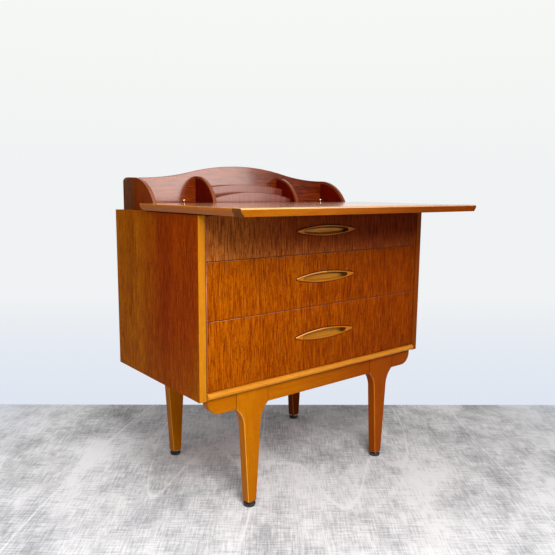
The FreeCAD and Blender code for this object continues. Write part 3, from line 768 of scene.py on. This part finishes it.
def makePull(level):
    size = pullSizes
    node = "drawer_pull_" + level
    low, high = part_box(node)
    face, sole = low.y, low.y + size["depth"]
    middleZ = (low.z + high.z) / 2
    length, height = size["pad"][:2]
    rimLength, rimHeight, rimTip = size["rim"]
    rimRadius = lensRadius(*size["rim"])

    def atFace(spot, way):
        return at(spot.y, face)

    def onRim(spot, way):
        out = math.hypot(spot.x, abs(spot.z - middleZ) + rimRadius - rimHeight / 2)
        return (at(spot.y, face) and abs(way.y) < crosswise and abs(spot.x) < rimLength / 2 + size["slack"]
                and rimRadius - rimTip < out < rimRadius + size["slack"])

    def onShadowOutline(spot, normal):
        half = height / 2 * (1 - (size["shadowBow"] * spot.x / length) ** 2)
        return face + size["edge"] < spot.y < high.y and abs(spot.z - middleZ) > half - size["shadowWidth"]

    def onLitEdge(spot, normal):
        return spot.z > middleZ and normal.x < 0 and normal.y < -size["litEdge"] and normal.z > slanted

    def inHollow(spot, normal):
        narrowing = size["hollowBow"] * (2 * spot.x / rimLength) ** 2
        return (face + size["hollowStart"] < spot.y < sole + nearLength
                and abs(spot.x) < rimLength / 2 and normal.y < halfway
                and abs(spot.z - middleZ) < rimHeight / 2 - size["hollowMargin"] - narrowing)

    hollow = plate("pull_hollow", "XZ", *lensOutline(middleZ, size["rim"], size["chords"]), face)
    edit()
    selectAll()
    moveOut((0, size["depth"], 0))
    narrower, lower = size["floor"][0] / rimLength, size["floor"][1] / rimHeight
    bpy.ops.transform.resize(value=(narrower, 1, lower), center_override=(0, sole, middleZ))
    bpy.ops.mesh.edge_face_add()
    leaveEdit()

    pad = lensOutline(middleZ, size["pad"], size["chords"])
    pull = plate("finger_pull_" + level, "XZ", *pad, high.y, face)
    roundEdges(pull, atFace, size["edge"], 5)
    pick(pull, "FACE", atFace)
    bpy.ops.mesh.delete(type="ONLY_FACE")
    leaveEdit()
    pull = joined(pull, hollow)
    pick(pull, "EDGE", atFace)
    bpy.ops.mesh.fill(use_beauty=True)
    closeUp()
    roundEdges(pull, onRim, size["lip"], 3)
    roundEdges(pull, lambda spot, way: at(spot.y, sole), size["cove"], 5)
    smooth(pull, 50)
    # The top pull is painted darker, as shade under the board.
    paint(pull, "pullShade" if level == "top" else "pullWood")
    # Painted shadow along the pull's proud outline.
    paint(pull, "jointLineAndShadow", onShadowOutline)
    if level != "top":
        # Painted highlight on the upper left rim.
        paint(pull, "pullRimHighlight", onLitEdge)
    # Painted shade inside the hollow.
    paint(pull, "hollowWood", inHollow)
    seat(pull, "drawer_" + level, "pull_wood", node)


frontSizes = {
    "upperBevel": 0.0013, "bevel": 0.0008, "seatChords": 36, "seatNear": 0.001, "jointNear": 0.003,
    "level": 0.95, "bevelled": 0.2, "pale": 0.002,
}


# The front has a lens-shaped seat for the pull, and a wider bevel along its upper edge.
def makeDrawerFront(level):
    size = frontSizes
    node = "drawer_front_" + level
    low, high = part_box(node)
    pullLow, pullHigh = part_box("drawer_pull_" + level)
    seatZ = (pullLow.z + pullHigh.z) / 2
    length, height = pullSizes["pad"][:2]

    def nearSeat(spot, beyond):
        return abs(spot.x) < length / 2 + beyond and abs(spot.z - seatZ) < height / 2 + beyond

    def isOuter(spot, way):
        return at(spot.y, low.y) and (at(spot.z, low.z) or at(abs(spot.x), high.x))

    def isSeat(spot, way):
        return at(spot.y, low.y) and abs(way.y) < crosswise and nearSeat(spot, size["seatNear"])

    def isHighlightBevel(spot, normal):
        return -size["level"] < normal.y < -size["bevelled"] and (
            spot.z > high.z - size["pale"] or spot.x < low.x + size["pale"])

    def isCore(spot, normal):
        return abs(normal.z) > size["level"] and spot.y < high.y and (
            at(spot.z, low.z, nearLength) or at(spot.z, high.z, nearLength))

    def isJoint(spot, normal):
        return -size["level"] < normal.y < -crosswise and nearSeat(spot, size["jointNear"])

    front = block("front_panel_" + level, low, high)
    outline, sink = lensOutline(seatZ, pullSizes["pad"], size["seatChords"]), pullSizes["sink"]
    cutter = plate("seat_cutter", "XZ", *outline, low.y + sink, low.y - sink)
    applied(front, "BOOLEAN", operation="DIFFERENCE", solver="EXACT", object=cutter)
    bpy.data.objects.remove(cutter)
    roundEdges(front, lambda spot, way: at(spot.y, low.y) and at(spot.z, high.z), size["upperBevel"], 3)
    roundEdges(front, isOuter, size["bevel"], 2)
    roundEdges(front, isSeat, pullSizes["joint"], 1)
    activate(front)
    bpy.ops.object.shade_smooth_by_angle(angle=math.radians(20))
    # The top front has a painted sheen and a painted shadow under the board.
    paint(front, "frontTopSheenAndShadow" if level == "top" else "frontVeneer")
    # Painted highlight on the upper and left bevels.
    paint(front, "frontEdgeHighlight", isHighlightBevel)
    # The upper and lower faces are dark brown, partly painted shade in the gaps.
    paint(front, "frontCoreAndGapShade", isCore)
    # Painted shadow in the ring around the pull's seat.
    paint(front, "jointLineAndShadow", isJoint)
    seat(front, "drawer_" + level, "front_veneer", node)


boardSizes = {
    "arris": 0.0010, "round": 0.0034, "upright": 0.006, "undercut": 0.008,
    "edgeFace": 0.8, "coreArris": 0.97, "frontArris": 0.98, "endFace": 0.55,
}


# The board's ends have an upright arris above and an undercut bevel below.
def makeBoard():
    size = boardSizes
    for node, name in (("board_core", "desk_top"), ("board_lipping", "desk_front_edge")):
        low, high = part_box(node)
        arris, under = high.z - size["upright"], high.x - size["undercut"]
        piece = plate(name, "XZ", (-under, low.z), [
            (under, low.z), (high.x, arris), (high.x, high.z), (-high.x, high.z), (-high.x, arris),
        ], high.y, low.y)
        if node == "board_core":
            easeEdges(piece, size["arris"], 2, 30)
            paint(piece, "deskVeneer")
            paint(piece, "deskEdge", lambda spot, normal: abs(normal.z) < size["edgeFace"])
            # Painted highlight on the core's upper arrises.
            paint(piece, "nosingWoodAndHighlight", lambda spot, normal: slanted < normal.z < size["coreArris"])
            seat(piece, "desk_board", "board_veneer", node)
        else:
            roundEdges(piece, lambda spot, way: at(spot.y, low.y) and at(spot.z, high.z), size["round"], 5)
            easeEdges(piece, size["arris"], 2, 30)
            paint(piece, "deskNosing")
            paint(piece, "nosingWoodAndHighlight", lambda spot, normal: normal.z > slanted)
            # Painted highlight on the rounded upper arris.
            paint(piece, "deskArrisHighlight", lambda spot, normal: (
                slanted < normal.z < size["frontArris"] and normal.y < -crosswise))
            paint(piece, "endGrain", lambda spot, normal: abs(normal.x) > size["endFace"])
            seat(piece, "desk_board", "solid_lipping", node)


# A low arc's radius and half its angle, from half its chord and its rise.
def bow(half, rise):
    radius = (half * half + rise * rise) / (2 * rise)
    return radius, math.degrees(math.asin(half / radius))


# The rack's back rises in a long hump between two rounded ends.
backSizes = {
    "end": 0.0364, "endTop": 0.800, "corner": 0.012, "arris": 0.0012,
    "cornerChords": 8, "flankChords": 28, "humpChords": 56,
}


def makeRackBack():
    size = backSizes
    node = "gallery_back"
    low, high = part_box(node)
    half, endTop, corner = high.x, size["endTop"], size["corner"]
    hump = half - size["end"]
    cornerZ = endTop - corner
    turnX, turnRise = hump / 2, (high.z - endTop) / 2
    radius, sweep = bow(turnX, turnRise)
    back = plate("rack_back", "XZ", (-half, low.z), [
        (half, low.z), (half, cornerZ), ((half - corner, cornerZ), 90, size["cornerChords"]), (hump, endTop),
        ((hump, endTop + radius), -sweep, size["flankChords"]),
        ((0, high.z - radius), 2 * sweep, size["humpChords"]),
        ((-hump, endTop + radius), -sweep, size["flankChords"]), (corner - half, endTop),
        ((corner - half, cornerZ), 90, size["cornerChords"]),
    ], high.y, low.y)
    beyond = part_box("gallery_cheek_right")[1].x
    for side in (-1, 1):
        pick(back, "FACE", lambda spot, normal: True)
        bpy.ops.mesh.bisect(plane_co=(side * beyond, 0, 0), plane_no=(1, 0, 0))
        leaveEdit()
    easeEdges(back, size["arris"])
    paint(back, "rackVeneer")
    paint(back, "cheekEdge", lambda spot, normal: abs(normal.y) < halfway)
    # Painted shade: the back beyond the cheeks is dark brown.
    paint(back, "rackEndShade", lambda spot, normal: abs(spot.x) > beyond and normal.y < halfway)
    seat(back, "letter_rack", "rack_veneer", node)


uprightSizes = {
    "cheek": {"radius": 0.125, "lipping": 0.0085}, "divider": {"radius": 0.100, "lipping": 0.006},
    "seam": 0.0003, "seamInset": 0.9, "round": 0.0008, "slack": 0.0002, "edgeStart": 0.002,
    "edgeFace": 0.75, "chords": 40,
}


# A quarter round. Inside its curved edge is a strip of lipping, behind a fine joint line.
def makeUpright(kind, hand):
    size = uprightSizes
    node = "gallery_%s_%s" % (kind, hand)
    low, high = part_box(node)
    radius = size[kind]["radius"]
    inner = radius - size[kind]["lipping"]
    centre = (high.y, high.z - radius)
    footY = centre[0] - math.sqrt(inner ** 2 - (low.z - centre[1]) ** 2)

    def turn(reach):
        return 90 - math.degrees(math.asin((low.z - centre[1]) / reach))

    def fromCentre(spot):
        return math.hypot(spot.y - centre[0], spot.z - centre[1])

    def onCurve(spot, way):
        inset = min(spot.x - low.x, high.x - spot.x)
        return (at(fromCentre(spot), radius, size["slack"]) and abs(way.x) < crosswise
                and inset > size["seam"] * size["seamInset"])

    chords = size["chords"]
    upright = plate("rack_%s_%s" % (kind, hand), "YZ", (high.y, low.z),
                    [(high.y, centre[1] + inner), (centre, turn(inner), chords)], low.x, high.x)
    paint(upright, "cheekVeneer")
    strip = plate("edge_strip", "YZ", (high.y, high.z), [
        (centre, turn(radius), chords), (footY, low.z), (centre, -turn(inner), chords),
    ], low.x, high.x)
    paint(strip, "cheekLip")
    for part in (upright, strip):
        applied(part, "BEVEL", width=size["seam"], segments=2, limit_method="ANGLE",
                angle_limit=math.radians(35))
    roundEdges(strip, onCurve, size["round"], 3)
    edit()
    selectAll()
    bpy.ops.mesh.remove_doubles(threshold=weldLength)
    leaveEdit()
    upright = joined(upright, strip)
    smooth(upright)
    paint(upright, "cheekEdge", lambda spot, normal: (
        abs(normal.x) < size["edgeFace"] and fromCentre(spot) > inner + size["edgeStart"]))
    if kind == "cheek":
        side = -1 if hand == "left" else 1
        # Painted light on the cheek's outer face.
        paint(upright, "cheekOuterLit", lambda spot, normal: side * normal.x > lengthwise)
    seat(upright, "letter_rack", "rack_end_veneer", node)


slipSizes = {"rise": {"rear": 0.012, "front": 0.0195}, "arris": 0.0009, "chords": 60}
trayArris = 0.0008


# Two slips with a bowed upper edge, and the rack's floor.
def makeRackBoards():
    for end, rise in slipSizes["rise"].items():
        node = "rack_board_" + end
        low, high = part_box(node)
        half = high.x
        radius, sweep = bow(half, rise)
        slip = plate("rack_%s_slot" % end, "XZ", (-half, low.z), [
            (half, low.z), (half, high.z - rise), ((0, high.z - radius), 2 * sweep, slipSizes["chords"]),
        ], high.y, low.y)
        easeEdges(slip, slipSizes["arris"])
        paint(slip, "slotVeneer")
        paint(slip, "cheekVeneer", lambda spot, normal: abs(normal.y) < halfway)
        seat(slip, "letter_rack", "rack_veneer", node)
    low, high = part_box("gallery_floor")
    tray = block("rack_floor", low, high)
    easeEdges(tray, trayArris, 2)
    paint(tray, "rackVeneer")
    seat(tray, "letter_rack", "rack_veneer", "gallery_floor")


# Radii with heights for the foot, and with a share of the height for the waist. Above
# them radii, or for the rim insets, with depths below the top.
knobSizes = {
    "foot": [(0, 0), (0.0050, 0), (0.0050, 0.0012), (0.0044, 0.0020), (0.0030, 0.0024), (0.0024, 0.0040)],
    "waist": (0.0022, 0.6),
    "neck": [(0.0026, 0.0052), (0.0036, 0.0043)],
    "rim": [(0.0006, 0.0038), (0, 0.0030), (0.0003, 0.0018), (0.0016, 0.0007)],
    "dome": [(0.0020, 0.0001), (0, 0)],
    "chords": 32,
}


def makeKnob(hand):
    size = knobSizes
    node = "gallery_knob_" + hand
    low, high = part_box(node)
    head, tall = (high.x - low.x) / 2, high.z - low.z
    waist, share = size["waist"]
    profile = size["foot"] + [(waist, tall * share)]
    profile += [(radius, tall - depth) for radius, depth in size["neck"]]
    profile += [(head - inset, tall - depth) for inset, depth in size["rim"]]
    profile += [(radius, tall - depth) for radius, depth in size["dome"]]
    knob = turned("rack_knob_" + hand, low, high, profile, size["chords"])
    smooth(knob, 35)
    paint(knob, "brass")
    seat(knob, "letter_rack", "brass", node)


frameSizes = {
    "round": 0.0028, "seam": 0.0008, "foot": 0.0125, "shoulder": 0.025, "curveRise": 0.045,
    "head": 0.040, "curveChords": 20, "earRound": 0.033, "earChords": 14,
    "joint": 0.0014, "jointStart": 0.002, "jointFace": 0.15, "sideFace": 0.95,
}


# Tells whether an edge bounds the front or rear face of a plank.
def boundsFace(spot, way, low, high):
    return (at(spot.y, low.y) or at(spot.y, high.y)) and abs(way.y) < crosswise


# One plank: a broad head, a hollow curve in to the shoulder, and a taper to the foot.
def makeLeg(end, hand):
    size = frameSizes
    node = "leg_%s_%s" % (end, hand)
    low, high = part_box(node)
    middle, head = (low.x + high.x) / 2, (high.x - low.x) / 2
    headZ = high.z - size["head"]
    shoulder, rise = size["shoulder"], size["curveRise"]
    shoulderZ = headZ - rise
    out, taper = head - shoulder, shoulder - size["foot"]
    drop = shoulderZ - low.z
    slope = math.hypot(taper, drop)
    radius = (out * out + rise ** 2) * slope / (2 * (out * drop - rise * taper))
    centreX, centreZ = shoulder + radius * drop / slope, shoulderZ - radius * taper / slope
    armOut = math.atan2(headZ - centreZ, head - centreX)
    armIn = math.atan2(shoulderZ - centreZ, shoulder - centreX)
    sweep = math.degrees((armIn - armOut) % math.tau)

    def isLitArris(spot, normal):
        return slanted < abs(normal.x) < size["sideFace"] and normal.y < -slanted and spot.z < headZ

    def isJoint(spot, normal):
        return (spot.z > headZ + size["jointStart"] and abs(normal.x) > size["jointFace"]
                and abs(spot.x - middle) > head - size["joint"])

    leg = plate("plank_" + node, "XZ", (middle - size["foot"], low.z), [
        (middle + size["foot"], low.z), (middle + shoulder, shoulderZ),
        ((middle + centreX, centreZ), -sweep, size["curveChords"]), (middle + head, high.z),
        (middle - head, high.z), (middle - head, headZ),
        ((middle - centreX, centreZ), -sweep, size["curveChords"]),
    ], high.y, low.y)
    roundEdges(leg, lambda spot, way: spot.z < headZ + nearLength and boundsFace(spot, way, low, high),
               size["round"], 4)
    easeEdges(leg, size["seam"], 2, 50)
    # The rear right leg is painted darker, as shade under the case.
    paint(leg, "legShade" if node == "leg_rear_right" else "legWood")
    # Painted highlight on the front arrises.
    paint(leg, "legArrisHighlight", isLitArris)
    paint(leg, "jointLineAndShadow", isJoint)
    seat(leg, "case", "frame_wood", node)


# The rounded end of a leg frame, outside the leg.
def makeEar(end, hand):
    size = frameSizes
    node = "ear_%s_%s" % (end, hand)
    low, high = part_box(node)
    side, inner, outer = (1, low.x, high.x) if hand == "right" else (-1, high.x, low.x)
    turnX, turnZ = outer - side * size["earRound"], low.z + size["earRound"]
    arc = ((turnX, turnZ), 90, size["earChords"])
    if hand == "right":
        start, steps = (inner, low.z), [(turnX, low.z), arc, (outer, high.z), (inner, high.z)]
    else:
        start, steps = (inner, high.z), [(outer, high.z), (outer, turnZ), arc, (inner, low.z)]

    def isOutline(spot, way):
        return (boundsFace(spot, way, low, high) and not at(spot.z, high.z, nearLength)
                and not at(spot.x, inner, nearLength))

    ear = plate("plank_" + node, "XZ", start, steps, high.y, low.y)
    roundEdges(ear, isOutline, size["round"], 4)
    easeEdges(ear, size["seam"], 2, 50)
    paint(ear, "railWood")
    paint(ear, "jointLineAndShadow", lambda spot, normal: (
        abs(normal.x) > size["jointFace"] and at(spot.x, inner, size["joint"])))
    seat(ear, "case", "frame_wood", node)


def makeApron(end):
    node = end + "_apron"
    low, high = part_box(node)
    rail = block("rail_" + node, low, high)
    roundEdges(rail, lambda spot, way: at(spot.z, low.z) and abs(way.x) > lengthwise, frameSizes["round"], 4)
    easeEdges(rail, frameSizes["seam"], 2, 50)
    paint(rail, "railWood")
    seat(rail, "case", "frame_wood", node)


# The pad has insets from its greatest radius with heights, the rest radii with heights.
glideSizes = {
    "pad": [(0.0028, 0), (0.0011, 0.0007), (0, 0.0025), (0, 0.0066), (0.0006, 0.0081), (0.0020, 0.0089)],
    "collar": [(0.0095, 0.0090), (0.0088, 0.0094)], "pin": (0.0080, 0.0100), "steelStart": 0.0091,
    "chords": 40,
}


def makeGlide(end, hand):
    size = glideSizes
    node = "glide_%s_%s" % (end, hand)
    low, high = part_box(node)
    greatest, tall = (high.x - low.x) / 2, high.z - low.z
    pad = [(greatest - inset, height) for inset, height in size["pad"]]
    pin = [size["pin"], (size["pin"][0], tall), (0, tall)]
    profile = [(0, 0)] + pad + size["collar"] + pin
    glide = turned("glide_foot_%s_%s" % (end, hand), low, high, profile, size["chords"])
    smooth(glide, 35)
    paint(glide, "glidePlastic")
    paint(glide, "pinSteel", lambda spot, normal: spot.z > low.z + size["steelStart"])
    seat(glide, "case", "foot_plastic", node)


mouldingSizes = {"arris": 0.0005, "chords": 20}


def makeMoulding():
    node = "base_moulding"
    low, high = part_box(node)
    radius = (high.z - low.z) / 2
    nose = plate("drawer_nosing", "YZ", (high.y, high.z), [
        (low.y + radius, high.z), ((low.y + radius, low.z + radius), 180, mouldingSizes["chords"]),
        (high.y, low.z),
    ], low.x, high.x)
    easeEdges(nose, mouldingSizes["arris"], 2, 60)
    paint(nose, "nosingWoodAndHighlight")
    seat(nose, "case", "solid_lipping", node)


lippingSizes = {"gap": 0.0015, "round": 0.0020}


# The side's veneer runs over the lipping's outer face.
def makeLipping(hand):
    node = "side_lipping_" + hand
    low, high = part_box(node)
    if hand == "left":
        high.x -= lippingSizes["gap"]
    else:
        low.x += lippingSizes["gap"]
    outer = max(abs(low.x), abs(high.x))
    strip = block("side_edge_" + hand, low, high)
    roundEdges(strip, lambda spot, way: at(spot.y, low.y), lippingSizes["round"], 4)
    smooth(strip)
    # The right lipping is painted darker, as shade.
    paint(strip, "lipping" if hand == "left" else "lippingRightShaded")
    paint(strip, "sideVeneer", lambda spot, normal: (
        abs(normal.x) > lengthwise and abs(spot.x) > outer - nearLength))
    seat(strip, "case", "solid_lipping", node)


# Every CAD node that stays in view gets its wood.
def dressNodes():
    dressed = {
        "sideVeneer": ["side_panel_left", "side_panel_right"],
        "carcassWood": [
            "case_bottom", "well_partition", "front_top_rail", "dust_board_lower", "dust_board_upper",
            "front_cleat", "rear_cleat", "board_batten_left", "board_batten_right",
        ],
        "backPly": ["case_back"],
        "drawerWood": ["drawer_side_%s_%s" % (hand, level) for hand in hands for level in levels],
        "drawerPanel": ["drawer_%s_%s" % (part, level) for part in ("back", "bottom") for level in levels],
    }
    for finish, nodes in dressed.items():
        for node in nodes:
            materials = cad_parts[node].data.materials
            materials.clear()
            materials.append(finishes[finish])


bpy.context.scene.view_settings.view_transform = "Standard"
makeCamera()
makeWorld()
makeLamps()
deselectAll()
corners, radius = floorSizes["corners"], floorSizes["radius"]
bpy.ops.mesh.primitive_circle_add(vertices=corners, radius=radius, fill_type="NGON")
floor = named("pale_floor")
floor.data.materials.append(makeFloorFinish())
print("camera, floor and lamps made")

finishes = {name: makeWood(name) for name in woods}
for name in metals:
    finishes[name] = makeMetal(name)
finishes["glidePlastic"] = makePlastic()
print("finishes made")

for level in levels:
    makeDrawerFront(level)
    makePull(level)
print("drawer fronts and pulls made")
makeBoard()
makeRackBack()
for kind in ("cheek", "divider"):
    for hand in hands:
        makeUpright(kind, hand)
makeRackBoards()
for hand in hands:
    makeKnob(hand)
print("desk board and letter rack made")
for end in ends:
    for hand in hands:
        makeLeg(end, hand)
        makeEar(end, hand)
        makeGlide(end, hand)
    makeApron(end)
makeMoulding()
for hand in hands:
    makeLipping(hand)
dressNodes()
print("case and legs made")
